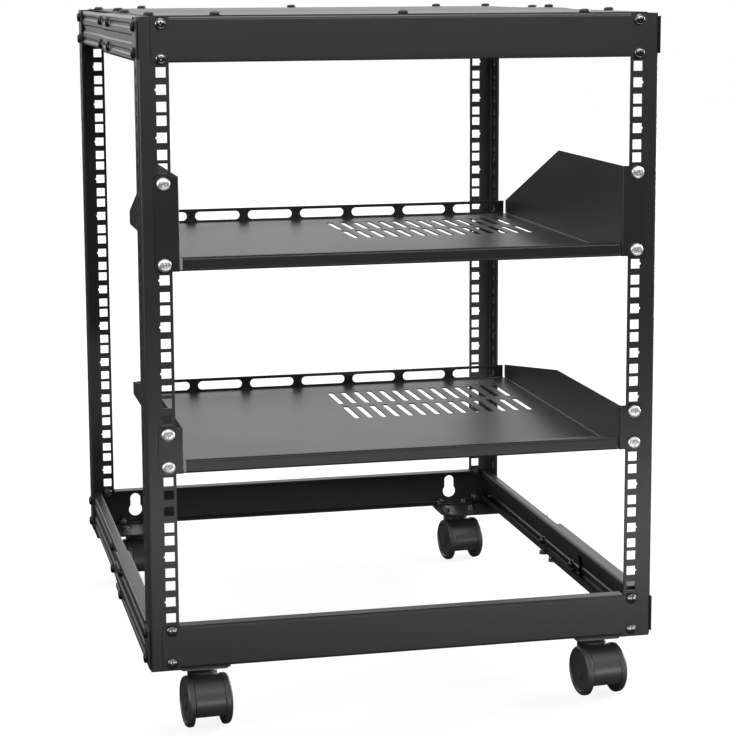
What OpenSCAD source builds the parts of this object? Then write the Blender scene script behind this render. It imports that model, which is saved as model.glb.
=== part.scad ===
// Four post open frame rack: perforated L-shaped posts, flanged front and rear beams,
// telescoping ribbed side rails, two cantilever shelves, a two-panel top and four
// twin-wheel swivel casters. Millimetres, +Z up, +X to the right seen from the front,
// origin on the floor under the middle of the rack.

/* [Rack] */
// Width of the panels, beams and shelf ears that bolt over the hole columns
panel_w = 482.6; // [480:0.1:486]
// Distance of the hole columns from the panels' ends
hole_inset = 8.75; // [8:0.05:9.5]
// Width by which the posts lap behind the panels' ends
post_lap = 16.3; // [15.5:0.1:18]
// Distance from the panels' ends to the rack's sides
side_reach = 13.75; // [11.5:0.05:28]
// Overall depth over the front and rear beams
rack_d = 584; // [520:1:800]
// Equipment height in rack units
rack_units = 12; // [11:1:18]
// Height of one rack unit
unit_h = 44.45; // [44:0.05:46]
// Gap between pieces that fit into each other
fit_gap = 0.2; // [0.1:0.05:0.5]

/* [Posts] */
// Sheet thickness of the posts
post_t = 2; // [1.5:0.1:3]
// Depth of a post's side flange
side_flange = 30; // [26:0.5:40]
// Outer bend radius of the posts
post_bend = 3.5; // [3.2:0.1:5]
// Side of the square cage nut holes
square_hole = 9.5; // [8:0.1:10]
// Distance from a unit's edge to its first hole
unit_edge = 6.35; // [6:0.05:7]
// Radius of the notch that marks the middle hole of each unit
mark_r = 1.3; // [0.8:0.1:1.8]
// Width of the obround holes in the side flanges
lace_w = 6; // [4:0.5:8]
// Height of the obround holes in the side flanges
lace_h = 10; // [9:0.5:11]
// Distance of the obround holes from the post's front face
lace_inset = 16; // [12:0.5:18]

/* [Beams] */
// Height of the front and rear beams
beam_h = 42; // [38:0.5:44]
// Sheet thickness of the beams
beam_t = 1.5; // [1.2:0.1:2.5]
// Depth of the beams' flanges
beam_flange = 15; // [10:0.5:20]
// Outer bend radius of the beams
beam_bend = 3; // [2.8:0.1:4]
// Distance between the two keyholes of the lower rear beam
key_span = 398; // [300:1:410]
// Width of a keyhole's slot
key_slot = 12; // [8:0.5:13]
// Diameter of a keyhole's round mouth
key_mouth = 16; // [14:0.5:18]
// Overall height of a keyhole
key_height = 28; // [24:0.5:30]

/* [Side rails] */
// Height of the outer rail halves
rail_h = 41.5; // [40:0.5:44]
// Sheet thickness of the rails
rail_t = 1.2; // [1:0.1:2]
// Depth of the outer rail halves' flanges
rail_flange = 16; // [14:0.5:22]
// Height of the lips on the rails' flanges
rail_lip = 8; // [6:0.5:11]
// Outer bend radius of the rails
rail_bend = 2.8; // [2.6:0.1:3.5]
// Width of the two narrow grooves
groove_narrow = 5.2; // [4:0.1:6]
// Width of the middle groove
groove_wide = 9.4; // [7:0.1:11]
// Distance of the narrow grooves from the rail's middle line
groove_offset = 12.4; // [11.5:0.1:13]
// Depth of the grooves
groove_depth = 1.4; // [0.8:0.1:1.8]
// Length by which the rear half reaches into the front half
nest_length = 75; // [50:1:120]

/* [Top] */
// Sheet thickness of the top panels
cover_t = 1.2; // [1:0.1:2]
// Width by which the top panels reach over each end of the beams
cover_over = 0.75; // [0:0.05:8]
// Distance of the top panels from the front and rear faces
cover_end = 4; // [2:0.5:8]
// Length by which the front panel laps over the rear panel
cover_lap = 62; // [40:1:120]
// Length of the ramp on which the front panel rises over the rear panel
cover_ramp = 30; // [10:1:60]

/* [Shelves] */
// Sheet thickness of the shelves
shelf_t = 1.2; // [1:0.1:2]
// Gap between a shelf and the posts on each side
shelf_gap = 6; // [3:0.5:10]
// Outer bend radius of the shelves
shelf_bend = 2.5; // [2.2:0.1:4]
// Depth of the shelves behind the ears
shelf_d = 402; // [360:1:430]
// Height of the upper shelf's ears in rack units
upper_ear_units = 2; // [2:1:3]
// Height of the upper shelf's middle screw line below the top unit
upper_drop = 147.6; // [130:0.1:180]
// Height of the lower shelf's ears in rack units
lower_ear_units = 1; // [1:1:2]
// Height of the lower shelf's middle screw line below the top unit
lower_drop = 363.54; // [340:0.1:400]
// Height of the front lip
front_lip = 13; // [10:0.5:18]
// Depth of the flange on top of the front lip
lip_flange = 9; // [6:0.5:14]
// Distance of the lips' ends from the shelf's sides
lip_relief = 3.5; // [3:0.1:6]
// Height of the rear lip
rear_lip = 16; // [14:0.5:20]
// Length of the level stretch of the side plates' top edge
side_level = 204; // [150:1:260]
// Length of the slots in the rear lip
lip_slot_l = 50.5; // [40:0.5:54]
// Height of the slots in the rear lip
lip_slot_h = 9.5; // [6:0.5:10]
// Spacing of the slots in the rear lip
lip_slot_pitch = 60; // [58:0.5:61]
// Number of slots in the rear lip
lip_slots = 7; // [3:2:7]
// Width of the vents in the floor
vent_w = 6.4; // [4:0.1:7]
// Length of the vents in the floor
vent_l = 66; // [50:1:70]
// Spacing of the vents across the floor
vent_pitch = 14.8; // [12:0.1:15]
// Spacing of the two rows of vents
vent_rows = 81; // [78:1:90]
// Number of vents in a row
vent_count = 14; // [6:1:14]
// Distance of the first vent from the middle of the shelf
vent_first = -1.5; // [-10:0.5:5]
// Distance from the ears' front face to the front row's middle
vent_front = 243; // [230:1:260]

/* [Casters] */
// Height from the floor to the underside of the frame
caster_h = 61; // [60:0.5:80]
// Wheel diameter
wheel_d = 50; // [44:0.5:52]
// Width over both wheels
caster_w = 44; // [42:0.5:50]
// Width of one wheel
wheel_w = 7; // [6:0.5:9]
// Gap between each wheel and the hood
wheel_gap = 0.4; // [0.3:0.1:1]
// Amount by which the drum's radius is smaller than the wheels'
drum_drop = 0.6; // [0:0.1:3]
// Rounding of a wheel's outer edge
wheel_round = 3.5; // [2:0.1:4]
// Rounding of a wheel's inner edge
wheel_edge = 1; // [0.5:0.1:1.5]
// Depth of the hollow in a wheel's outer face
wheel_dish = 1; // [0.5:0.1:2]
// Width of the rim around the hollow
wheel_rim = 4.5; // [4:0.1:6]
// Width of the boss around the axle's end
wheel_boss = 4; // [2:0.5:6]
// Depth by which the axle reaches into each wheel
axle_seat = 5; // [3:0.5:5.5]
// Axle and kingpin diameter
pin_d = 8; // [6:0.5:9]
// Radial clearance of the pins in their bores
pin_play = 0.06; // [0.02:0.01:0.1]
// Length by which the kingpin reaches into the hood
kingpin_seat = 12; // [8:0.5:14]
// Offset of the axle from the swivel axis
caster_trail = 17; // [14:0.5:20]
// Distance of the swivel axis from the rack's sides
caster_side = 55; // [46:0.5:60]
// Distance of the swivel axis from the front and rear faces
caster_end = 27; // [25:0.5:60]
// Height of the drum's lower edge above the floor
hood_edge = 15; // [12:0.5:18]
// Height of the neck's lower rear edge above the axle
neck_rise = 9; // [6:0.5:14]
// Chamfer at the top of the neck
neck_chamfer = 2.5; // [1:0.5:4]
// Gap between the hood's neck and the bearing
neck_gap = 0.5; // [0.3:0.1:1]
// Height of the caster's bearing
bearing_h = 3; // [2:0.5:6]
// Diameter of the caster's bearing
bearing_d = 23; // [20:0.5:24]
// Thickness of the caster's top plate
caster_plate_t = 2; // [1.5:0.1:3]
// Side of the caster's square top plate
caster_plate_w = 46; // [40:0.5:48]
// Corner radius of the caster's top plate
plate_round = 4; // [2:0.5:8]
// Thickness of the corner plates
corner_t = 2; // [1.5:0.1:3]
// Width of the corner plates
corner_w = 77; // [76:0.5:90]
// Depth of the corner plates
corner_d = 64; // [60:0.5:90]
// Distance of the corner plates from the rack's outer faces
corner_inset = 2.5; // [1:0.5:8]
// Chamfer at the inner corner of the corner plates
corner_chamfer = 14; // [6:0.5:18]
// How far the front left caster is turned
turn_front_left = 4; // [-20:1:20]
// How far the front right caster is turned
turn_front_right = 6; // [-20:1:20]
// How far the rear left caster is turned
turn_rear_left = 5; // [-20:1:20]
// How far the rear right caster is turned
turn_rear_right = 6; // [-20:1:20]

/* [Hidden] */
$fn = 48;
wheel_fn = 96;
cut = 1;

frame_h = (rack_units + 2) * unit_h;
frame_z = caster_h;
hole_step = (unit_h - 2 * unit_edge) / 2;

hole_span = panel_w - 2 * hole_inset;
clear_w = panel_w - 2 * post_lap;
rack_w = panel_w + 2 * side_reach;

post_x = rack_w / 2 - rail_t;
post_y = rack_d / 2 - beam_t;
post_w = post_x - clear_w / 2;
post_hole_x = post_x - hole_span / 2;

top_level = frame_h - beam_h;
rail_top = frame_h - rail_h;
beam_inner_w = clear_w - 2 * fit_gap;
cover_w = panel_w + 2 * cover_over;

inner_web = rail_t + post_t;
inner_h = rail_h - 2 * (rail_t + fit_gap);
inner_flange = rail_flange - inner_web - rail_t - fit_gap;

shelf_w = clear_w - 2 * shelf_gap;
shelf_front_y = -post_y - shelf_t;
upper_ear_h = upper_ear_units * unit_h;
lower_ear_h = lower_ear_units * unit_h;
units_top = frame_z + frame_h - unit_h;
upper_z = units_top - upper_drop - upper_ear_h / 2;
lower_z = units_top - lower_drop - lower_ear_h / 2;

wheel_r = wheel_d / 2;
drum_r = wheel_r - drum_drop;
wheel_inner = caster_w / 2 - wheel_w;
hood_w = 2 * (wheel_inner - wheel_gap);
neck_r = hood_w / 2;
axle_half = wheel_inner + axle_seat;
plate_top = caster_h - corner_t;
bearing_top = plate_top - caster_plate_t;
neck_top = bearing_top - bearing_h - neck_gap;
kingpin_end = neck_top - kingpin_seat;
caster_x = rack_w / 2 - caster_side;
caster_y = rack_d / 2 - caster_end;

// ---- sheet sections -------------------------------------------------------------

// Rectangle with its two corners on the Y axis rounded
module one_side_round_2d(w, h, r) {
  translate([r, 0]) square([w - r, h]);
  translate([0, r]) square([2 * r, h - 2 * r]);
  translate([r, r]) circle(r);
  translate([r, h - r]) circle(r);
}

// C section with its web on the left, open on the right
module c_section_2d(depth, h, r, t) {
  difference() {
    one_side_round_2d(depth, h, r);
    translate([t, t]) one_side_round_2d(depth, h - 2 * t, r - t);
  }
}

// L section with its bend at the origin and its legs along +X and +Y
module angle_2d(leg_x, leg_y, r, t) {
  difference() {
    union() {
      translate([r, 0]) square([leg_x - r, t]);
      translate([0, r]) square([t, leg_y - r]);
      intersection() {
        translate([r, r]) circle(r);
        square(r);
      }
    }
    translate([r, r]) circle(r - t);
  }
}

// Rectangle with all four corners rounded
module round_rect_2d(w, h, r) {
  translate([r, 0]) square([w - 2 * r, h]);
  translate([0, r]) square([w, h - 2 * r]);
  for (x = [r, w - r], y = [r, h - r]) translate([x, y]) circle(r);
}

// Upright obround centred on the origin
module obround_2d(w, h) {
  square([w, h - w], center = true);
  for (s = [-1, 1]) translate([0, s * (h - w) / 2]) circle(d = w);
}

// ---- posts ----------------------------------------------------------------------

// Square holes of the front flange, seen from the front
module post_front_holes_2d() {
  for (unit = [1 : rack_units], i = [0 : 2])
    translate([post_hole_x, unit * unit_h + unit_edge + i * hole_step]) {
      square(square_hole, center = true);
      if (i == 1) translate([-square_hole / 2, 0]) circle(mark_r);
    }
}

// Obround holes of the side flange, seen from the side
module post_side_holes_2d() {
  for (unit = [1 : rack_units], i = [0 : 2])
    translate([lace_inset, unit * unit_h + unit_edge + i * hole_step])
      obround_2d(lace_w, lace_h);
}

// Front left post: front flange along +X, side flange along +Y, bend at the origin
module post_shape() {
  difference() {
    linear_extrude(frame_h) angle_2d(post_w, side_flange, post_bend, post_t);
    translate([0, post_t + cut, 0]) rotate([90, 0, 0])
      linear_extrude(post_t + 2 * cut) post_front_holes_2d();
    translate([-cut, 0, 0]) rotate([90, 0, 90])
      linear_extrude(post_t + 2 * cut) post_side_holes_2d();
  }
}

// A post at its corner: side is -1 left or 1 right, end is -1 front or 1 rear
module post(side, end) {
  color([0.17, 0.17, 0.175])
    mirror([side > 0 ? 1 : 0, 0, 0]) mirror([0, end > 0 ? 1 : 0, 0])
      translate([-post_x, -post_y, frame_z]) post_shape();
}

// ---- beams ----------------------------------------------------------------------

// One keyhole with its round mouth at the bottom, centred on its height
module keyhole_2d() {
  translate([0, -key_height / 2 + key_mouth / 2]) circle(d = key_mouth);
  translate([0, key_height / 2 - key_slot / 2]) circle(d = key_slot);
  translate([-key_slot / 2, -key_height / 2 + key_mouth / 2])
    square([key_slot, key_height - (key_mouth + key_slot) / 2]);
}

// Front beam with its web's outer face on the XZ plane
module beam_shape(keyholes) {
  difference() {
    union() {
      translate([-beam_inner_w / 2, 0, 0]) rotate([90, 0, 90])
        linear_extrude(beam_inner_w)
          c_section_2d(beam_flange, beam_h, beam_bend, beam_t);
      for (s = [-1, 1])
        translate([s * (beam_inner_w + panel_w) / 4 - (panel_w - beam_inner_w) / 4, 0, 0])
          cube([(panel_w - beam_inner_w) / 2, beam_t, beam_h]);
    }
    if (keyholes)
      for (s = [-1, 1])
        translate([s * key_span / 2, beam_t + cut, beam_h / 2]) rotate([90, 0, 0])
          linear_extrude(beam_t + 2 * cut) keyhole_2d();
  }
}

// A beam in place: end is -1 front or 1 rear, level is its bottom above the frame's
module beam(end, level, keyholes = false) {
  color([0.19, 0.19, 0.195])
    mirror([0, end > 0 ? 1 : 0, 0])
      translate([0, -rack_d / 2, frame_z + level]) beam_shape(keyholes);
}

// ---- side rails -----------------------------------------------------------------

// Groove seen end on, pushed inwards by e, with 45 degree flanks
module groove_2d(middle, w, e) {
  grow = e * (sqrt(2) - 1);
  half = w / 2 + grow;
  translate([e, middle])
    polygon([
      [-cut, half + cut], [groove_depth, half - groove_depth],
      [groove_depth, groove_depth - half], [-cut, -half - cut]
    ]);
}

// Outline of a ribbed rail, set in by e on all sides
module rail_outline_2d(w, h, e) {
  difference() {
    translate([e, e]) round_rect_2d(w - 2 * e, h - 2 * e, rail_bend - e);
    groove_2d(h / 2, groove_wide, e);
    for (s = [-1, 1]) groove_2d(h / 2 + s * groove_offset, groove_narrow, e);
  }
}

// C section with lips: web on the left, open on the right
module rail_section_2d(w, h) {
  difference() {
    rail_outline_2d(w, h, 0);
    rail_outline_2d(w, h, rail_t);
    translate([w - 2 * rail_t, rail_lip]) square([3 * rail_t, h - 2 * rail_lip]);
  }
}

// Outer half on the left side: a flat tab over the post, then the ribbed channel
module rail_front_shape() {
  tab = side_flange + fit_gap;
  translate([-rack_w / 2, -post_y, 0]) {
    translate([0, 0, rail_bend]) cube([rail_t, tab, rail_h - 2 * rail_bend]);
    translate([0, tab, 0]) mirror([0, 1, 0]) rotate([90, 0, 0])
      linear_extrude(post_y - tab) rail_section_2d(rail_flange, rail_h);
  }
}

// Inner half on the left side: it lies against the inside of the rear post
module rail_rear_shape() {
  reach = post_y - post_t + nest_length;
  translate([inner_web - rack_w / 2, -nest_length, rail_t + fit_gap])
    mirror([0, 1, 0]) rotate([90, 0, 0])
      linear_extrude(reach) rail_section_2d(inner_flange, inner_h);
}

// A rail half in place: side is -1 left or 1 right, level is its bottom in the frame
module rail(side, level, front) {
  color([0.22, 0.22, 0.225])
    mirror([side > 0 ? 1 : 0, 0, 0])
      translate([0, 0, frame_z + level])
        if (front) rail_front_shape();
        else rail_rear_shape();
}

// ---- top ------------------------------------------------------------------------

// The front panel rises on a ramp and laps over the rear panel's front edge
module top_panel_front() {
  front = cover_end - rack_d / 2;
  rise = -cover_lap / 2 - fit_gap;
  color([0.24, 0.24, 0.245])
    translate([-cover_w / 2, 0, frame_z + frame_h]) rotate([90, 0, 90])
      linear_extrude(cover_w)
        polygon([
          [front, 0], [rise - cover_ramp, 0], [rise, cover_t], [cover_lap / 2, cover_t],
          [cover_lap / 2, 2 * cover_t], [rise, 2 * cover_t], [rise - cover_ramp, cover_t],
          [front, cover_t]
        ]);
}

module top_panel_rear() {
  color([0.24, 0.24, 0.245])
    translate([-cover_w / 2, -cover_lap / 2, frame_z + frame_h])
      cube([cover_w, rack_d / 2 - cover_end + cover_lap / 2, cover_t]);
}

// ---- shelves --------------------------------------------------------------------

// Side plate seen from the side: level in front, then sloping to the rear lip's height
module shelf_side_2d(ear_h) {
  polygon([
    [shelf_bend, 0], [shelf_d - lip_relief, 0], [shelf_d, lip_relief],
    [shelf_d, rear_lip], [side_level, ear_h], [shelf_bend, ear_h]
  ]);
}

// Floor and side plates, bent from one sheet
module shelf_walls(ear_h) {
  intersection() {
    rotate([90, 0, 180]) linear_extrude(shelf_d)
      translate([shelf_w / 2, 0]) rotate(90)
        c_section_2d(ear_h, shelf_w, shelf_bend, shelf_t);
    translate([-shelf_w / 2, 0, 0]) rotate([90, 0, 90])
      linear_extrude(shelf_w) shelf_side_2d(ear_h);
  }
}

// Floor seen from the side, with the boxed front lip and the upright rear lip
module shelf_run_2d() {
  c_section_2d(lip_flange, front_lip, shelf_bend, shelf_t);
  translate([shelf_bend, 0]) square([shelf_d - 2 * shelf_bend, shelf_t]);
  translate([shelf_d, 0]) mirror([1, 0])
    angle_2d(2 * shelf_bend, rear_lip, shelf_bend, shelf_t);
}

// Right-hand ear, bent outwards from the side plate's front edge
module shelf_ear(ear_h) {
  inner = shelf_w / 2 - shelf_t;
  translate([inner, 0, 0])
    linear_extrude(ear_h)
      angle_2d(panel_w / 2 - inner, 2 * shelf_bend, shelf_bend, shelf_t);
}

// Two rows of vents on the right-hand part of the floor
module shelf_vents_2d() {
  for (i = [0 : vent_count - 1], row = [0 : 1])
    translate([vent_first + i * vent_pitch, vent_front + row * vent_rows])
      obround_2d(vent_w, vent_l);
}

// Row of slots in the rear lip, lying on their long side
module lip_slots_2d() {
  for (i = [0 : lip_slots - 1])
    translate([(i - (lip_slots - 1) / 2) * lip_slot_pitch, rear_lip / 2])
      rotate(90) obround_2d(lip_slot_h, lip_slot_l);
}

// Tray with ears; the ears' front face lies on the XZ plane, the floor at the bottom
module shelf_shape(ear_h) {
  run_w = shelf_w - 2 * lip_relief;
  difference() {
    union() {
      shelf_walls(ear_h);
      translate([-run_w / 2, 0, 0]) rotate([90, 0, 90])
        linear_extrude(run_w) shelf_run_2d();
      for (m = [0, 1]) mirror([m, 0, 0]) shelf_ear(ear_h);
    }
    translate([0, 0, -cut]) linear_extrude(shelf_t + 2 * cut) shelf_vents_2d();
    translate([0, shelf_d + cut, 0]) rotate([90, 0, 0])
      linear_extrude(shelf_t + 2 * cut) lip_slots_2d();
  }
}

module shelf_upper() {
  color([0.2, 0.2, 0.205])
    translate([0, shelf_front_y, upper_z]) shelf_shape(upper_ear_h);
}

module shelf_lower() {
  color([0.2, 0.2, 0.205])
    translate([0, shelf_front_y, lower_z]) shelf_shape(lower_ear_h);
}

// ---- casters --------------------------------------------------------------------

// Plate under a corner of the frame, chamfered towards the middle of the rack
module corner_plate(side, end) {
  color([0.16, 0.16, 0.165])
    mirror([side > 0 ? 1 : 0, 0, 0]) mirror([0, end > 0 ? 1 : 0, 0])
      translate([corner_inset - rack_w / 2, corner_inset - rack_d / 2, plate_top])
        linear_extrude(corner_t)
          polygon([
            [0, 0], [corner_w, 0], [corner_w, corner_d - corner_chamfer],
            [corner_w - corner_chamfer, corner_d], [0, corner_d]
          ]);
}

// Moves its children from the swivel axis at the origin to a corner, turned
module at_corner(side, end, turn) {
  translate([side * caster_x, end * caster_y, 0]) rotate(turn) children();
}

// Top plate, bearing and kingpin of a caster
module caster_mount(side, end) {
  half = caster_plate_w / 2;
  color([0.12, 0.12, 0.125])
    at_corner(side, end, 0) {
      translate([-half, -half, bearing_top])
        linear_extrude(caster_plate_t)
          round_rect_2d(caster_plate_w, caster_plate_w, plate_round);
      translate([0, 0, bearing_top - bearing_h])
        cylinder(h = bearing_h, d = bearing_d);
      translate([0, 0, kingpin_end]) cylinder(h = bearing_top - kingpin_end, d = pin_d);
    }
}

// Drum between the wheels seen from the side, cut off level above the floor
module drum_2d() {
  difference() {
    translate([-caster_trail, wheel_r]) circle(drum_r, $fn = wheel_fn);
    translate([-caster_trail - wheel_d, hood_edge - wheel_d]) square([2 * wheel_d, wheel_d]);
  }
}

// Round neck about the swivel axis, chamfered on top and cut off aslant below
module neck() {
  intersection() {
    rotate_extrude()
      polygon([
        [0, wheel_r], [neck_r, wheel_r], [neck_r, neck_top - neck_chamfer],
        [neck_r - neck_chamfer, neck_top], [0, neck_top]
      ]);
    translate([-neck_r, 0, 0]) rotate([90, 0, 90])
      linear_extrude(2 * neck_r)
        polygon([
          [-caster_trail, wheel_r], [neck_r, wheel_r + neck_rise],
          [neck_r, neck_top], [-caster_trail, neck_top]
        ]);
  }
}

// Hood of a caster with its bores for the axle and the kingpin
module caster_hood(side, end, turn) {
  color([0.08, 0.08, 0.085])
    at_corner(side, end, turn)
      difference() {
        union() {
          translate([-hood_w / 2, 0, 0]) rotate([90, 0, 90])
            linear_extrude(hood_w) drum_2d();
          neck();
        }
        translate([-caster_w / 2, -caster_trail, wheel_r]) rotate([0, 90, 0])
          cylinder(h = caster_w, d = pin_d + 2 * pin_play);
        translate([0, 0, kingpin_end - neck_gap])
          cylinder(h = neck_top, d = pin_d + 2 * pin_play);
      }
}

// Half section of a wheel about its axle: X is the radius, Y runs outwards
module wheel_section_2d() {
  outer = caster_w / 2;
  rim = wheel_r - wheel_round;
  boss = pin_d / 2 + wheel_boss;
  difference() {
    union() {
      translate([0, wheel_inner]) square([rim, wheel_w]);
      translate([0, wheel_inner + wheel_edge])
        square([wheel_r, wheel_w - wheel_edge - wheel_round]);
      translate([0, wheel_inner]) square([wheel_r - wheel_edge, wheel_w - wheel_round]);
      translate([rim, outer - wheel_round]) circle(wheel_round);
      translate([wheel_r - wheel_edge, wheel_inner + wheel_edge]) circle(wheel_edge);
    }
    polygon([
      [boss, outer + cut], [boss, outer - wheel_dish],
      [wheel_r - wheel_rim - wheel_dish, outer - wheel_dish],
      [wheel_r - wheel_rim + cut, outer + cut]
    ]);
    translate([-cut, wheel_inner - cut])
      square([cut + pin_d / 2 + pin_play, cut + axle_seat + pin_play]);
  }
}

// Both wheels of a caster and the axle that they share
module caster_wheels(side, end, turn) {
  color([0.1, 0.1, 0.105])
    at_corner(side, end, turn)
      translate([0, -caster_trail, wheel_r]) {
        for (m = [0, 1])
          mirror([m, 0, 0]) rotate([0, 90, 0])
            rotate_extrude($fn = wheel_fn) wheel_section_2d();
        rotate([0, 90, 0]) cylinder(h = 2 * axle_half, d = pin_d, center = true);
      }
}

// ---- the rack -------------------------------------------------------------------

post(-1, -1);  // post_front_left
post(1, -1);  // post_front_right
post(-1, 1);  // post_rear_left
post(1, 1);  // post_rear_right
beam(-1, top_level);  // beam_front_top
beam(-1, 0);  // beam_front_bottom
beam(1, top_level);  // beam_rear_top
beam(1, 0, keyholes = true);  // beam_rear_bottom
rail(-1, rail_top, true);  // rail_left_top_front
rail(-1, rail_top, false);  // rail_left_top_rear
rail(-1, 0, true);  // rail_left_bottom_front
rail(-1, 0, false);  // rail_left_bottom_rear
rail(1, rail_top, true);  // rail_right_top_front
rail(1, rail_top, false);  // rail_right_top_rear
rail(1, 0, true);  // rail_right_bottom_front
rail(1, 0, false);  // rail_right_bottom_rear
top_panel_front();
top_panel_rear();
shelf_upper();
shelf_lower();
corner_plate(-1, -1);  // corner_plate_front_left
corner_plate(1, -1);  // corner_plate_front_right
corner_plate(-1, 1);  // corner_plate_rear_left
corner_plate(1, 1);  // corner_plate_rear_right
caster_mount(-1, -1);  // caster_mount_front_left
caster_mount(1, -1);  // caster_mount_front_right
caster_mount(-1, 1);  // caster_mount_rear_left
caster_mount(1, 1);  // caster_mount_rear_right
caster_hood(-1, -1, turn_front_left);  // caster_hood_front_left
caster_hood(1, -1, turn_front_right);  // caster_hood_front_right
caster_hood(-1, 1, turn_rear_left);  // caster_hood_rear_left
caster_hood(1, 1, turn_rear_right);  // caster_hood_rear_right
caster_wheels(-1, -1, turn_front_left);  // caster_wheels_front_left
caster_wheels(1, -1, turn_front_right);  // caster_wheels_front_right
caster_wheels(-1, 1, turn_rear_left);  // caster_wheels_rear_left
caster_wheels(1, 1, turn_rear_right);  // caster_wheels_rear_right
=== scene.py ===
"""Finishes, screws, nuts, studio and camera for the four post open frame rack.

Metres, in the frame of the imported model: +Z up, the rack's front towards -Y.
"""
import math

import bpy
import numpy as np
from mathutils import Matrix, Vector


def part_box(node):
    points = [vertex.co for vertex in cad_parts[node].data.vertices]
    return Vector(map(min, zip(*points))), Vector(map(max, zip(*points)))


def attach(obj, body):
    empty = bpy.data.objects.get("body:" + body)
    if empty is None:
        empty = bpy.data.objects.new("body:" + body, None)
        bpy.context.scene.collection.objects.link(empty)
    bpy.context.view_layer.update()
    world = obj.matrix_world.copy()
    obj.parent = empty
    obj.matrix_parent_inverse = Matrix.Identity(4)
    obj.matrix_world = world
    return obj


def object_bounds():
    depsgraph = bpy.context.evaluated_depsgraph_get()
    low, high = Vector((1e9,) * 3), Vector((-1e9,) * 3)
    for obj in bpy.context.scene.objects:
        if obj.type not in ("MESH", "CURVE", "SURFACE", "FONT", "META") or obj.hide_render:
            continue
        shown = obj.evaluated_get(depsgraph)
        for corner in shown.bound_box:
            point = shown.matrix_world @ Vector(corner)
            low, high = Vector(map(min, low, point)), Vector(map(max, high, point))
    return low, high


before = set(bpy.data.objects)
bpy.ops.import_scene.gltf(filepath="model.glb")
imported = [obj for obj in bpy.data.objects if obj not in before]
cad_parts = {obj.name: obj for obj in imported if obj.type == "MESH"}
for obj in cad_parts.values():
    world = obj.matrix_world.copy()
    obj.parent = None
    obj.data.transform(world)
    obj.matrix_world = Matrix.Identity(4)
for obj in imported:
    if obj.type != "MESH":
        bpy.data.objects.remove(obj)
cad_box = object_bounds()

MM = 0.001

# ---- sizes that the fasteners share with the solids ------------------------------

# Distance between the two columns of square holes
HOLE_SPAN = 465.1 * MM
# Heights of the first and the last hole of a rack unit above its lower edge
UNIT_FIRST = 6.35 * MM
UNIT_LAST = 38.1 * MM
# Thicknesses of the pieces' sheet steel
POST_SHEET = 2 * MM
BEAM_SHEET = 1.5 * MM
RAIL_SHEET = 1.2 * MM
COVER_SHEET = 1.2 * MM
# Distance of the rails' screws from their middle line
RAIL_SCREW_RISE = 12.4 * MM

SIDES = (-1, 1)
UP = (0, 0, 1)
REARWARDS = (0, 1, 0)

# Faces that meet at more than this many degrees keep a sharp edge between them
CREASE = 35


# ---- surfaces -------------------------------------------------------------------

def rings_shell(rings):
    """Closed surface through a stack of rings.

    rings[i, j] is point j of ring i, counted anticlockwise seen from +Z, and the rings
    run from the top down. Quads join each ring to the next, and both end rings close on
    their own middle point.
    """
    count, around = rings.shape[:2]
    points = np.concatenate([rings.reshape(-1, 3), rings[[0, -1]].mean(axis=1)])
    here = np.arange(around)
    following = np.roll(here, -1)
    row = np.arange(count - 1)[:, None] * around
    quads = np.stack(
        [row + here, row + around + here, row + around + following, row + following], axis=-1
    ).reshape(-1, 4)
    top = np.full(around, count * around)
    last = (count - 1) * around
    caps = np.concatenate([
        np.stack([top, here, following], axis=-1),
        np.stack([top + 1, last + following, last + here], axis=-1),
    ])
    return points, quads.tolist() + caps.tolist()


def turned_rings(rings, angles):
    """Rings about the Z axis, each given as its radius and its height.

    Point j of a ring lies radius out at angles[j]. Radius and height are one number for the
    whole ring, or an array with a number for each angle.
    """
    radii, heights = (
        np.array([np.broadcast_to(values, angles.shape) for values in part])
        for part in zip(*rings)
    )
    return np.stack([radii * np.cos(angles), radii * np.sin(angles), heights], axis=-1)


def prism(outline, low, high):
    """An outline in the XZ plane, anticlockwise seen from -Y, carried along Y from low to high."""
    outline = np.asarray(outline, float)
    count = len(outline)
    ends = [np.full(count, low), np.full(count, high)]
    points = np.concatenate([
        np.stack([outline[:, 0], y, outline[:, 1]], axis=-1) for y in ends
    ])
    here = np.arange(count)
    following = np.roll(here, -1)
    sides = np.stack([following, here, count + here, count + following], axis=-1)
    return points, sides.tolist() + [here.tolist(), (count + here[::-1]).tolist()]


def joined(shapes):
    """Several shapes as one."""
    points = []
    faces = []
    start = 0
    for shape_points, shape_faces in shapes:
        points.append(shape_points)
        faces.extend([[start + index for index in face] for face in shape_faces])
        start += len(shape_points)
    return np.concatenate(points), faces


def copies(shape, spots, outward, up=UP):
    """A shape repeated at every spot, with its own +Z turned outward and its +Y turned up.

    Each point is its spot plus the shape's point on the axes up x outward, up and outward.
    """
    points, faces = shape
    z = np.asarray(outward, float)
    x = np.cross(up, z)
    y = np.cross(z, x)
    turned = points @ np.stack([x, y, z])
    spots = np.asarray(spots, float)
    placed = (spots[:, None, :] + turned[None, :, :]).reshape(-1, 3)
    repeats = [
        [copy * len(points) + index for index in face]
        for copy in range(len(spots)) for face in faces
    ]
    return placed, repeats


def piece(name, shapes, material):
    """Makes the shapes one mesh object that rides on the rack."""
    points, faces = joined(shapes)
    mesh = bpy.data.meshes.new(name)
    mesh.from_pydata(points.tolist(), [], faces)
    mesh.validate()
    mesh.polygons.foreach_set("use_smooth", np.ones(len(mesh.polygons), bool))
    mesh.set_sharp_from_angle(angle=math.radians(CREASE))
    mesh.materials.append(material)
    obj = bpy.data.objects.new(name, mesh)
    bpy.context.scene.collection.objects.link(obj)
    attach(obj, "rack")


# ---- materials ------------------------------------------------------------------

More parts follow.
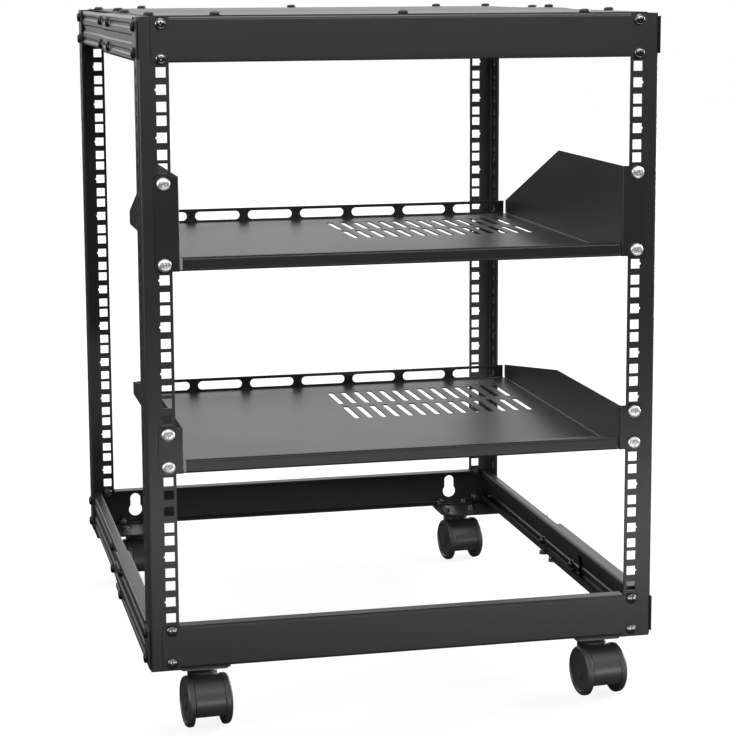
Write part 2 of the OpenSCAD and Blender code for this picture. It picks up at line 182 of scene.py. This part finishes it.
class Wire:
    """A node socket that Python expressions can use: each operator adds its Math node."""

    def __init__(self, tree, socket):
        self.tree = tree
        self.socket = socket

    def maths(self, operation, *values):
        """A Math node of that operation on the values."""
        return self.tree.add("ShaderNodeMath", {"operation": operation}, dict(enumerate(values)))

    def __add__(self, other):
        return self.maths("ADD", self, other)

    def __radd__(self, other):
        return self.maths("ADD", other, self)

    def __sub__(self, other):
        return self.maths("SUBTRACT", self, other)

    def __rsub__(self, other):
        return self.maths("SUBTRACT", other, self)

    def __mul__(self, other):
        return self.maths("MULTIPLY", self, other)

    def __rmul__(self, other):
        return self.maths("MULTIPLY", other, self)

    def step(self, low, high):
        """0 below low, 1 above high and a smooth rise between them."""
        return self.tree.add(
            "ShaderNodeMapRange",
            {"interpolation_type": "SMOOTHSTEP"},
            {"Value": self, "From Min": low, "From Max": high},
        )


# Places of a Mix node's colour sockets, whose names its other kinds share
MIX_A = 6
MIX_B = 7
MIX_RESULT = 2


class Tree:
    """A material's or world's node tree."""

    def __init__(self, owner):
        owner.use_nodes = True
        self.tree = owner.node_tree
        self.tree.nodes.clear()

    def add(self, kind, settings, values, output=0):
        """Adds a node: its settings first, then its sockets' values or links. Returns an output,
        or nothing from a node that has none."""
        node = self.tree.nodes.new(kind)
        for name, value in settings.items():
            setattr(node, name, value)
        for name, value in values.items():
            if isinstance(value, Wire):
                self.tree.links.new(value.socket, node.inputs[name])
            else:
                node.inputs[name].default_value = value
        if node.outputs:
            return Wire(self, node.outputs[output])

    def place(self):
        """Object coordinates."""
        return self.add("ShaderNodeTexCoord", {}, {}, "Object")

    def noise(self, where, scale, detail):
        """Noise from 0 to 1 with scale grains to the metre and detail finer layers on them."""
        return self.add(
            "ShaderNodeTexNoise", {}, {"Vector": where, "Scale": scale, "Detail": detail}, "Fac"
        )

    def tint(self, factor, dark, light):
        """A colour between dark and light, by the colour sockets A, B and Result of a Mix."""
        return self.add(
            "ShaderNodeMix", {"data_type": "RGBA"},
            {"Factor": factor, MIX_A: (*dark, 1), MIX_B: (*light, 1)}, MIX_RESULT,
        )

    def bump(self, height, distance, strength):
        """Normals of a relief: height from 0 to 1 over a distance in metres."""
        return self.add(
            "ShaderNodeBump", {}, {"Height": height, "Distance": distance, "Strength": strength}
        )

    def surface(self, shader):
        """Makes a shader the material's surface."""
        self.add("ShaderNodeOutputMaterial", {}, {"Surface": shader})


def coat(name, colour, gloss):
    """Powder coat on sheet steel: fine peel, slow changes of tone and gloss, tiny pale specks.

    colour is the coat's linear grey and gloss its roughness.
    """
    material = bpy.data.materials.new(name)
    tree = Tree(material)
    where = tree.place()
    peel = tree.noise(where, 700, 3)
    tooth = tree.noise(where, 2600, 2)
    cloud = tree.noise(where, 9, 3)
    speck = tree.noise(where, 1500, 1).step(0.68, 0.76)
    tone = cloud * 0.5 + peel * 0.3 + speck * 0.35
    shades = [[part * share for part in colour] for share in (0.82, 1.3)]
    shader = tree.add("ShaderNodeBsdfPrincipled", {}, {
        "Base Color": tree.tint(tone, *shades),
        "Roughness": gloss - 0.05 + cloud * 0.06 + tooth * 0.08,
        "Normal": tree.bump(peel * 0.7 + tooth * 0.3, 0.06 * MM, 0.6),
    })
    tree.surface(shader)
    return material


def plated(name, colour, gloss):
    """Plated steel: metal with a faint drawn grain and uneven gloss."""
    material = bpy.data.materials.new(name)
    tree = Tree(material)
    where = tree.place()
    grain = tree.noise(where, 2200, 3)
    cloud = tree.noise(where, 240, 2)
    shader = tree.add("ShaderNodeBsdfPrincipled", {}, {
        "Base Color": tree.tint(cloud, [c * 0.86 for c in colour], colour),
        "Roughness": gloss + grain * 0.12 + cloud * 0.08,
        "Metallic": 1.0,
        "Normal": tree.bump(grain, 0.02 * MM, 0.5),
    })
    tree.surface(shader)
    return material


def moulded(name, colour, gloss):
    """Moulded black plastic: near smooth, with a faint sink and scattered dust."""
    material = bpy.data.materials.new(name)
    tree = Tree(material)
    where = tree.place()
    sink = tree.noise(where, 60, 2)
    grain = tree.noise(where, 1800, 2)
    dust = tree.noise(where, 1100, 2).step(0.66, 0.8)
    shader = tree.add("ShaderNodeBsdfPrincipled", {}, {
        "Base Color": tree.tint(sink * 0.6 + dust * 0.5, colour, [c * 1.7 for c in colour]),
        "Roughness": gloss + sink * 0.06 + grain * 0.06,
        "Specular IOR Level": 0.8,
        "Normal": tree.bump(sink * 0.7 + grain * 0.3, 0.05 * MM, 0.5),
    })
    tree.surface(shader)
    return material


def grey(value):
    """A dark grey, a little cool."""
    return (value, value, value * 1.02)


frame_coat = coat("frame_coat", grey(0.026), 0.38)
rail_coat = coat("rail_coat", grey(0.026), 0.34)
top_coat = coat("top_coat", grey(0.026), 0.38)
shelf_coat = coat("shelf_coat", grey(0.024), 0.34)
screw_black = plated("screw_black", (0.22, 0.22, 0.224), 0.12)
screw_matt = plated("screw_matt", (0.045, 0.045, 0.046), 0.3)
screw_bright = plated("screw_bright", (0.9, 0.9, 0.88), 0.3)
nut_black = plated("nut_black", (0.2, 0.2, 0.2), 0.25)
caster_steel = plated("caster_steel", (0.16, 0.16, 0.165), 0.34)
hood_plastic = moulded("hood_plastic", grey(0.03), 0.3)
wheel_plastic = moulded("wheel_plastic", grey(0.03), 0.4)

# The finish of each kind of node, by the start of its name
FINISHES = {
    "post": frame_coat,
    "beam": frame_coat,
    "corner_plate": frame_coat,
    "rail": rail_coat,
    "top_panel": top_coat,
    "shelf": shelf_coat,
    "caster_mount": caster_steel,
    "caster_hood": hood_plastic,
    "caster_wheels": wheel_plastic,
}
for node_name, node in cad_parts.items():
    finish = next(m for prefix, m in FINISHES.items() if node_name.startswith(prefix))
    node.data.materials.clear()
    node.data.materials.append(finish)


# ---- screws and nuts ------------------------------------------------------------

# Degrees between the middle of a cross recess's arm and a corner of the arm's end
CROSS_CORNER = 13.0


def cross_angles():
    """24 angles round a screw, set where a cross recess turns and spread between."""
    between = (CROSS_CORNER + 45) / 2
    quarter = np.array([0, CROSS_CORNER, between, 45, 90 - between, 90 - CROSS_CORNER])
    return np.radians((quarter + 90 * np.arange(4)[:, None]).ravel())


def cross_outline(reach, angles):
    """Radius of a cross, with a the angle from the nearest arm's middle.

    Across an arm's end it is reach / cos(a), and along its sides half the arm's width / sin(a).
    """
    folded = np.abs((angles + math.pi / 4) % (math.pi / 2) - math.pi / 4)
    corner = math.radians(CROSS_CORNER)
    half = reach * math.tan(corner)
    tips = reach / np.cos(folded)
    sides = half / np.maximum(np.sin(folded), math.sin(corner))
    return np.where(folded <= corner + 1e-6, tips, sides)


def pan_head(radius, height, reach, depth):
    """Pan head with a cross recess: z = height less a crown that grows with the radius squared.

    reach is how far the cross's arms come out, and depth how deep the recess goes.
    """
    angles = cross_angles()
    cross = cross_outline(reach, angles)

    def crown(r):
        """Height of the crowned top at a distance r from the middle."""
        return height - 0.28 * height * (r / radius) ** 2

    recess = [
        (cross * 0.3, height - depth),
        (cross * 0.72, height - depth * 0.8),
        (cross, crown(cross)),
    ]
    top = [(r, crown(r)) for r in (reach * 1.14, radius * 0.8)]
    rim = [
        (radius * 0.93, height * 0.66),
        (radius, height * 0.46),
        (radius, height * 0.12),
        (radius * 0.97, 0),
    ]
    return rings_shell(turned_rings(recess + top + rim, angles))


def screw_end(radius, low, high, pitch):
    """Rings of a threaded end from its tip down: the radius steps between crest and root."""
    turns = max(2, round((high - low) / pitch))
    rings = [(radius * 0.78, high)]
    for crest in np.linspace(high - pitch / 2, low, turns + 1):
        rings += [(radius, crest), (radius * 0.88, crest - pitch / 2)]
    return rings[:-1]


# Angles round a nut, close enough for a hexagon's corners
NUT_ANGLES = np.radians(np.arange(0, 360, 15))


def hex_nut(flat, height, thread, reach, seat):
    """Hexagon nut on a thin round seat, with the screw's end standing out of it.

    Round the nut the radius is flat / cos(a), with a the angle from the nearest flat's middle.
    """
    folded = (NUT_ANGLES + math.pi / 6) % (math.pi / 3) - math.pi / 6
    hexagon = flat / np.cos(folded)
    rings = screw_end(thread, height, height + reach, 0.8 * MM) + [
        (thread * 1.12, height),
        (flat * 0.96, height),
        (np.minimum(hexagon, flat * 1.06), height - 0.25 * MM),
        (hexagon, height - 0.7 * MM),
        (hexagon, 1.1 * MM),
        (seat, 0.7 * MM),
        (seat, 0),
    ]
    return rings_shell(turned_rings(rings, NUT_ANGLES))


def square_outline(half, angles):
    """Radius of a square with round corners, from the superellipse |x|^n + |y|^n = half^n."""
    power = 9
    spread = np.abs(np.cos(angles)) ** power + np.abs(np.sin(angles)) ** power
    return half / spread ** (1 / power)


def cage_nut(thread, reach):
    """Square nut with the screw's end, held in a folded spring cage."""
    block = square_outline(4.9 * MM, NUT_ANGLES)
    height = 5.4 * MM
    rings = screw_end(thread, height, height + reach, 1.0 * MM) + [
        (thread * 1.15, height),
        (block * 0.93, height),
        (block, height - 0.4 * MM),
        (block, 0.9 * MM),
    ]
    nut = rings_shell(turned_rings(rings, NUT_ANGLES))
    # The cage's half width, its height, the inner end of its hooks and its half depth
    wide = 6.4 * MM
    tall = 5.2 * MM
    hook = 4.3 * MM
    deep = 4.2 * MM
    sheet = 0.8 * MM
    cage = [
        (-wide, 0), (wide, 0), (wide, tall), (hook, tall + sheet), (hook, tall),
        (wide - sheet, tall - sheet), (wide - sheet, sheet), (sheet - wide, sheet),
        (sheet - wide, tall - sheet), (-hook, tall), (-hook, tall + sheet), (-wide, tall),
    ]
    return joined([nut, prism(cage, -deep, deep)])


FRAME_SCREW = pan_head(5.2 * MM, 3.4 * MM, 2.6 * MM, 2.2 * MM)
SHELF_SCREW = pan_head(6.5 * MM, 4.4 * MM, 2.6 * MM, 1.6 * MM)
FRAME_NUT = hex_nut(4.0 * MM, 4.0 * MM, 2.4 * MM, 1.6 * MM, 4.8 * MM)
CAGE_NUT = cage_nut(2.9 * MM, 3.5 * MM)


def beam_fasteners():
    """Two screws and nuts at each end of each beam, on the rack's hole columns."""
    heads = []
    nuts = []
    stack = BEAM_SHEET + POST_SHEET
    for end, outward in (("front", (0, -1, 0)), ("rear", REARWARDS)):
        spots = []
        for level in ("top", "bottom"):
            low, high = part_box(f"beam_{end}_{level}")
            face = low.y if end == "front" else high.y
            for rise in (UNIT_FIRST, UNIT_LAST):
                z = high.z - rise if level == "top" else low.z + rise
                spots += [(side * HOLE_SPAN / 2, face, z) for side in SIDES]
        heads.append(copies(FRAME_SCREW, spots, outward))
        inward = -np.array(outward)
        nuts.append(copies(FRAME_NUT, np.array(spots) + inward * stack, inward))
    piece("beam_screws", heads, screw_black)
    piece("beam_nuts", nuts, nut_black)


def shelf_fasteners():
    """Bright screws through both shelves' ears, with cage nuts behind the posts."""
    spots = []
    for shelf in ("shelf_upper", "shelf_lower"):
        low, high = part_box(shelf)
        for z in (low.z + UNIT_FIRST, high.z - UNIT_FIRST):
            spots += [(side * HOLE_SPAN / 2, low.y, z) for side in SIDES]
    heads = copies(SHELF_SCREW, spots, (0, -1, 0))
    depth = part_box("post_front_left")[0].y + POST_SHEET
    behind = [(x, depth, z) for x, _, z in spots]
    piece("shelf_screws", [heads], screw_bright)
    piece("cage_nuts", [copies(CAGE_NUT, behind, REARWARDS)], nut_black)


def reach_out(box):
    """How far from the rack's middle plane a piece's box comes out."""
    low, high = box
    return max(abs(low.x), abs(high.x))


def rail_fasteners():
    """Screws through the rails: two at each post, two on either side of the seam.

    Two more nuts stand on each lower rail's flange, one on either side of the seam.
    """
    from_post = 16 * MM
    from_seam = 53 * MM
    flange_from_seam = 17 * MM
    flange_inset = 14 * MM
    heads = []
    nuts = []
    on_flange = []
    for side, word in ((-1, "left"), (1, "right")):
        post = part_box(f"post_rear_{word}")
        for level in ("top", "bottom"):
            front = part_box(f"rail_{word}_{level}_front")
            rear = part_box(f"rail_{word}_{level}_rear")
            middle = (front[0].z + front[1].z) / 2
            outer = reach_out(front)
            inner = reach_out(rear)
            seam = front[1].y
            # Each screw's head, its place along the rail and its nut
            along = [
                (outer, front[0].y + from_post, outer - RAIL_SHEET - POST_SHEET),
                (outer, seam - from_seam, inner - RAIL_SHEET),
                (inner, seam + from_seam, inner - RAIL_SHEET),
                (reach_out(post), post[1].y - from_post, inner - RAIL_SHEET),
            ]
            for rise in (-RAIL_SCREW_RISE, RAIL_SCREW_RISE):
                spots = [(side * x, y, middle + rise) for x, y, _ in along]
                ends = [(side * x, y, middle + rise) for _, y, x in along]
                heads.append(copies(FRAME_SCREW, spots, (side, 0, 0)))
                nuts.append(copies(FRAME_NUT, ends, (-side, 0, 0)))
            if level == "bottom":
                x = side * (inner - flange_inset)
                floor = rear[0].z + RAIL_SHEET
                on_flange += [(x, seam + way * flange_from_seam, floor) for way in SIDES]
    piece("rail_screws", heads, screw_matt)
    nuts.append(copies(FRAME_NUT, on_flange, UP, REARWARDS))
    piece("rail_nuts", nuts, nut_black)


def top_fasteners():
    """Screws that hold the two top panels: a row at each end and a row along each side."""
    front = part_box("top_panel_front")
    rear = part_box("top_panel_rear")
    end_row = (-180 * MM, 0, 180 * MM)
    end_inset = 6 * MM
    # The side screws: how far out they stand, and their distances from the frame's front face
    # on the left and from its rear face on the right
    side_reach = 241 * MM
    side_row = (15 * MM, 208 * MM, 270 * MM, 470 * MM)
    front_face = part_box("beam_front_top")[0].y
    rear_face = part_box("beam_rear_top")[1].y
    level = front[0].z + COVER_SHEET
    spots = [(x, front[0].y + end_inset, level) for x in end_row]
    spots += [(x, rear[1].y - end_inset, level) for x in end_row]
    lap_end = front[1].y
    for distance in side_row:
        for x, y in ((-side_reach, front_face + distance), (side_reach, rear_face - distance)):
            step = COVER_SHEET if rear[0].y < y < lap_end else 0
            spots.append((x, y, level + step))
    heads = copies(FRAME_SCREW, spots, UP, REARWARDS)
    piece("top_screws", [heads], screw_matt)


def caster_fasteners():
    """Four nuts over each caster: the outer two on the beam's flange, the others on the plate."""
    reach = 16 * MM
    spots = []
    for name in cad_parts:
        if not name.startswith("caster_mount"):
            continue
        low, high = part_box(name)
        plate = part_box(name.replace("caster_mount", "corner_plate"))
        middle = (low + high) / 2
        outwards = math.copysign(1, middle.y)
        spots += [
            (middle.x + sx * reach, middle.y + sy * outwards * reach,
             plate[1].z + (BEAM_SHEET if sy > 0 else 0))
            for sx in SIDES for sy in SIDES
        ]
    nuts = copies(FRAME_NUT, spots, UP, REARWARDS)
    piece("caster_nuts", [nuts], nut_black)


beam_fasteners()
shelf_fasteners()
rail_fasteners()
top_fasteners()
caster_fasteners()


# ---- studio ---------------------------------------------------------------------

# How bright the backdrop and the ceiling are in reflections, and the plain light all round
BACK_SHINE = 1.15
CEILING_SHINE = 0.7
AMBIENT = 0.08
# Where the backdrop is brightest, seen from the rack
BACK_WAY = (0.25, 0.96, 0.1)
# The floor's paint in reflections, and what is added to it for the camera
FLOOR_PAINT = 0.08
FLOOR_WHITENING = 0.72
# The floor's glow for the camera, and the share of it right under the rack, where the shadow
# is kept; the share rises to the whole between these two distances from the middle
FLOOR_GLOW = 1.25
GLOW_NEAR = 0.7
GLOW_RISE = (0.4, 2.2)
# The floor's radius
FLOOR_REACH = 9.0


def studio_floor():
    """A wide round floor: white, with the rack's soft shadow near it."""
    around = np.radians(np.arange(0, 360, 5))
    points = turned_rings([(FLOOR_REACH, cad_box[0].z)], around)[0]
    mesh = bpy.data.meshes.new("studio_floor")
    mesh.from_pydata(points.tolist(), [], [list(range(len(around)))])
    obj = bpy.data.objects.new("studio_floor", mesh)
    bpy.context.scene.collection.objects.link(obj)
    material = bpy.data.materials.new("studio_white")
    tree = Tree(material)
    rays = tree.add("ShaderNodeLightPath", {}, {}, "Is Camera Ray")
    away = tree.add("ShaderNodeVectorMath", {"operation": "LENGTH"}, {0: tree.place()}, "Value")
    pale = away.step(*GLOW_RISE) * (1 - GLOW_NEAR) + GLOW_NEAR
    shade = tree.tint(rays, (FLOOR_PAINT,) * 3, (FLOOR_PAINT + FLOOR_WHITENING,) * 3)
    paint = tree.add("ShaderNodeBsdfDiffuse", {}, {"Color": shade})
    glow = tree.add("ShaderNodeEmission", {}, {"Color": (1, 1, 1, 1), "Strength": FLOOR_GLOW})
    tree.surface(tree.add("ShaderNodeMixShader", {}, {0: rays * pale, 1: paint, 2: glow}))
    mesh.materials.append(material)


def studio_world():
    """White for the camera; reflections see it bright behind and above the rack."""
    world = bpy.data.worlds.new("studio")
    bpy.context.scene.world = world
    tree = Tree(world)
    way = tree.add("ShaderNodeTexCoord", {}, {}, "Generated")
    towards = tree.add(
        "ShaderNodeVectorMath", {"operation": "DOT_PRODUCT"}, {0: way, 1: BACK_WAY}, "Value")
    seen = tree.add("ShaderNodeLightPath", {}, {}, "Is Camera Ray")
    shine = tree.add("ShaderNodeLightPath", {}, {}, "Is Glossy Ray")
    height = tree.add("ShaderNodeSeparateXYZ", {}, {"Vector": way}, "Z")
    behind = towards.step(0.75, 0.98) * BACK_SHINE
    above = height.step(0.2, 0.5) * CEILING_SHINE
    mirrored = behind.maths("MAXIMUM", behind, above) * shine
    strength = seen.maths("MAXIMUM", seen, mirrored + AMBIENT)
    shader = tree.add("ShaderNodeBackground", {}, {"Color": (1, 1, 1, 1), "Strength": strength})
    tree.add("ShaderNodeOutputWorld", {}, {"Surface": shader})


def soft_light(name, place, target, size, power, spread=180):
    """A soft box at a place, facing a target, with its light held within spread degrees."""
    data = bpy.data.lights.new(name, "AREA")
    data.shape = "RECTANGLE"
    data.size, data.size_y = size
    data.energy = power
    data.spread = math.radians(spread)
    obj = bpy.data.objects.new(name, data)
    obj.location = place
    obj.visible_camera = False
    obj.rotation_euler = (Vector(target) - Vector(place)).to_track_quat("-Z", "Y").to_euler()
    bpy.context.scene.collection.objects.link(obj)


# The camera's place, and its heading, downward tilt and roll in degrees
CAMERA_PLACE = (-0.4868, -2.2626, 0.7137)
CAMERA_HEADING = -12.832
CAMERA_TILT = 8.724
CAMERA_ROLL = -0.271


def studio_camera():
    """The camera stands front left of the rack, a little above it."""
    data = bpy.data.cameras.new("camera")
    data.lens = 104.42
    data.sensor_width = 36.0
    data.shift_y = -0.0788
    obj = bpy.data.objects.new("camera", data)
    turn = (
        Matrix.Rotation(math.radians(CAMERA_HEADING), 4, "Z")
        @ Matrix.Rotation(math.radians(90 - CAMERA_TILT), 4, "X")
        @ Matrix.Rotation(math.radians(CAMERA_ROLL), 4, "Z")
    )
    obj.matrix_world = Matrix.Translation(CAMERA_PLACE) @ turn
    bpy.context.scene.collection.objects.link(obj)
    bpy.context.scene.camera = obj


studio_floor()
studio_world()
middle = (cad_box[0] + cad_box[1]) / 2
# The left, low and high lights show the front and the left side, and the others the rest
soft_light("left_light", (-2.4, -1.0, 0.95), middle, (1.2, 1.0), 26)
soft_light("low_light", (0.2, -0.8, 0.05), (0.05, -0.29, 0.15), (1.3, 0.12), 2.0)
soft_light("high_light", (0.15, -0.85, 0.9), (0.05, -0.29, 0.62), (1.3, 0.12), 0.8, spread=75)
soft_light("top_light", (0, 0.1, 2.3), middle, (1.6, 0.5), 22)
soft_light("right_light", (2.6, 0.4, 1.0), middle, (1.6, 1.2), 95)
soft_light("rear_light", (-1.4, 2.3, 1.5), middle, (1.2, 1.0), 14)
soft_light("corner_light", (2.3, 2.0, 0.45), middle, (1.0, 0.8), 70)
studio_camera()
bpy.context.scene.view_settings.view_transform = "Standard"
